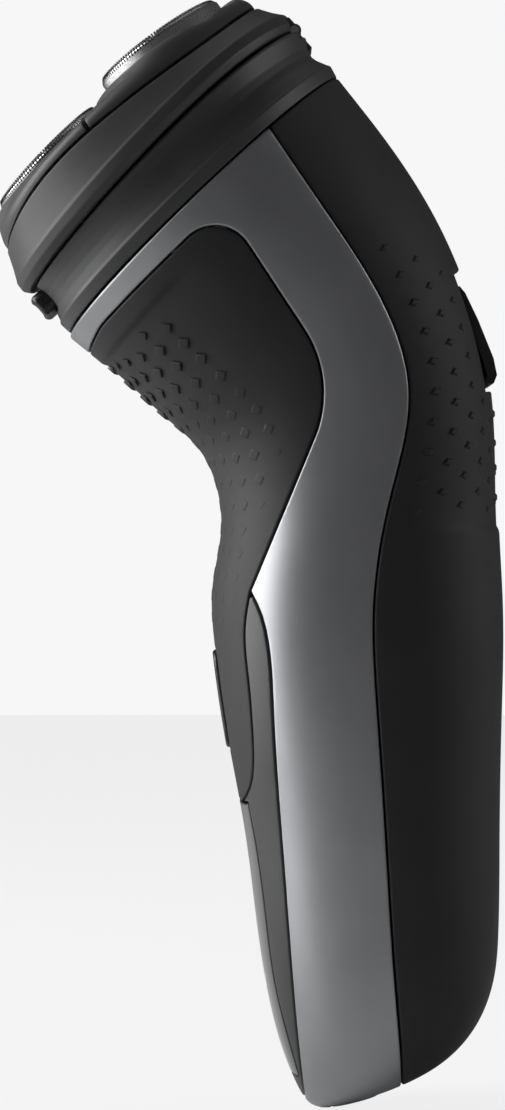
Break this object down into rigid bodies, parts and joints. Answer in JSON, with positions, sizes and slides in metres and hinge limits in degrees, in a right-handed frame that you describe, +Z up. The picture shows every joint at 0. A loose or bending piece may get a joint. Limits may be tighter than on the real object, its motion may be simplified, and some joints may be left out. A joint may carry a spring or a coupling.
{
  "type": "electric shaver",
  "caption": "Rotary electric shaver: bent two-tone handle with rubber grips, tilted hinged head with floating caps, flip-out trimmer.",
  "frame": {"origin": "middle of the charging socket's flat floor, in the base of the handle", "axes": "+Z up along the lower handle, -Y to the front (button and display), X across, symmetric"},
  "size_m": [0.0586, 0.0746, 0.1649],
  "materials": {
    "silver": "metallic grey lacquer, satin",
    "rubber": "soft-touch rubber with raised diamonds",
    "satin": "fine satin moulded plastic",
    "trim": "satin grey plastic",
    "black": "polished black plastic",
    "button": "semi-gloss black plastic",
    "steel": "ground stainless steel",
    "white": "natural acetal plastic",
    "board": "green solder mask",
    "seal": "black rubber",
    "wrap": "shrink wrap"
  },
  "bodies": {
    "handle": {"side_frame": "silver", "front_grip": "rubber", "front_trim": "trim", "display_window": "black", "back_shell": "rubber", "circuit_board": "board", "button_switch": "steel", "light_bar": "white", "battery": "wrap", "battery_cradle": "satin", "socket_block": "black", "charge_contact_right": "steel", "charge_contact_left": "steel", "motor": "steel", "gear_plate": "satin", "chamber_floor": "satin", "collar": "satin", "release_leaf": "steel", "floor_screw_1": "steel", "floor_screw_2": "steel", "floor_screw_3": "steel", "spindle_seal_front": "seal", "spindle_seal_right": "seal", "spindle_seal_left": "seal"},
    "power_button": {"on_off_button": "rubber"},
    "release": {"release_button": "button"},
    "rotor": {"motor_pinion": "steel"},
    "shaving_unit": {"unit_body": "satin", "unit_hinge_pin": "steel", "retaining_frame": "white"},
    "dial": {"lock_dial": "white"},
    "trimmer": {"trimmer_cover": "rubber", "trimmer_guard": "steel", "trimmer_pin": "steel"},
    "trimmer_knife": {"trimmer_blade": "steel"},
    "gear_front": {"drive_gear_front": "white"},
    "lobe_front": {"cap_holder_front": "satin", "cap_front": "steel"},
    "knife_front": {"cutter_front": "steel"},
    "gear_right": {"drive_gear_right": "white"},
    "lobe_right": {"cap_holder_right": "satin", "cap_right": "steel"},
    "knife_right": {"cutter_right": "steel"},
    "gear_left": {"drive_gear_left": "white"},
    "lobe_left": {"cap_holder_left": "satin", "cap_left": "steel"},
    "knife_left": {"cutter_left": "steel"}
  },
  "joints": [
    {"name": "unit_open", "type": "hinge", "parent": "handle", "child": "shaving_unit", "pos_m": [0, -0.00998, 0.15233], "axis": [-1, 0, 0], "range_deg": [0, 75]},
    {"name": "motor_spin", "type": "hinge", "parent": "handle", "child": "rotor", "pos_m": [0, -0.02149, 0.12851], "axis": [0, -0.6691, 0.7431], "continuous": true},
    {"name": "gear_spin_front", "type": "hinge", "parent": "handle", "child": "gear_front", "pos_m": [0, -0.03212, 0.11894], "axis": [0, -0.6691, 0.7431], "continuous": true},
    {"name": "lobe_tilt_front", "type": "hinge", "parent": "shaving_unit", "child": "lobe_front", "pos_m": [0, -0.04423, 0.13226], "axis": [1, 0, 0], "range_deg": [-2, 2], "stiffness_Nm_per_rad": 0.5},
    {"name": "knife_spin_front", "type": "hinge", "parent": "lobe_front", "child": "knife_front", "pos_m": [0, -0.04082, 0.1286], "axis": [0, -0.682, 0.7314], "continuous": true},
    {"name": "gear_spin_right", "type": "hinge", "parent": "handle", "child": "gear_right", "pos_m": [0.01238, -0.01618, 0.13329], "axis": [0, -0.6691, 0.7431], "continuous": true},
    {"name": "lobe_tilt_right", "type": "hinge", "parent": "shaving_unit", "child": "lobe_right", "pos_m": [0.01225, -0.02779, 0.14702], "axis": [-0.5, 0.6436, 0.5795], "range_deg": [-2, 2], "stiffness_Nm_per_rad": 0.5},
    {"name": "knife_spin_right", "type": "hinge", "parent": "lobe_right", "child": "knife_right", "pos_m": [0.01238, -0.02488, 0.14295], "axis": [-0.0278, -0.5818, 0.8128], "continuous": true},
    {"name": "gear_spin_left", "type": "hinge", "parent": "handle", "child": "gear_left", "pos_m": [-0.01238, -0.01618, 0.13329], "axis": [0, -0.6691, 0.7431], "continuous": true},
    {"name": "lobe_tilt_left", "type": "hinge", "parent": "shaving_unit", "child": "lobe_left", "pos_m": [-0.01225, -0.02779, 0.14702], "axis": [-0.5, -0.6436, -0.5795], "range_deg": [-2, 2], "stiffness_Nm_per_rad": 0.5},
    {"name": "knife_spin_left", "type": "hinge", "parent": "lobe_left", "child": "knife_left", "pos_m": [-0.01238, -0.02488, 0.14295], "axis": [0.0278, -0.5818, 0.8128], "continuous": true},
    {"name": "dial_turn", "type": "hinge", "parent": "shaving_unit", "child": "dial", "pos_m": [0, -0.02819, 0.13594], "axis": [0, -0.6691, 0.7431], "range_deg": [0, 90]},
    {"name": "release_press", "type": "slide", "parent": "handle", "child": "release", "axis": [0, 0.7431, 0.6691], "range_m": [0, 0.001], "stiffness_N_per_m": 400, "springref_m": -0.002},
    {"name": "power_press", "type": "slide", "parent": "handle", "child": "power_button", "axis": [0, 0.9901, 0.14], "range_m": [0, 0.0008], "stiffness_N_per_m": 500, "springref_m": -0.002},
    {"name": "trimmer_open", "type": "hinge", "parent": "handle", "child": "trimmer", "pos_m": [0, 0.01227, 0.11326], "axis": [1, 0, 0], "range_deg": [0, 85]},
    {"name": "trimmer_cut", "type": "slide", "parent": "trimmer", "child": "trimmer_knife", "axis": [1, 0, 0], "range_m": [-0.0008, 0.0008], "stiffness_N_per_m": 60}
  ],
  "couplings": [
    {"joint": "gear_spin_front", "follows": "motor_spin", "ratio": -0.66667},
    {"joint": "knife_spin_front", "follows": "motor_spin", "ratio": -0.66667},
    {"joint": "gear_spin_right", "follows": "motor_spin", "ratio": -0.66667},
    {"joint": "knife_spin_right", "follows": "motor_spin", "ratio": -0.66667},
    {"joint": "gear_spin_left", "follows": "motor_spin", "ratio": -0.66667},
    {"joint": "knife_spin_left", "follows": "motor_spin", "ratio": -0.66667}
  ]
}
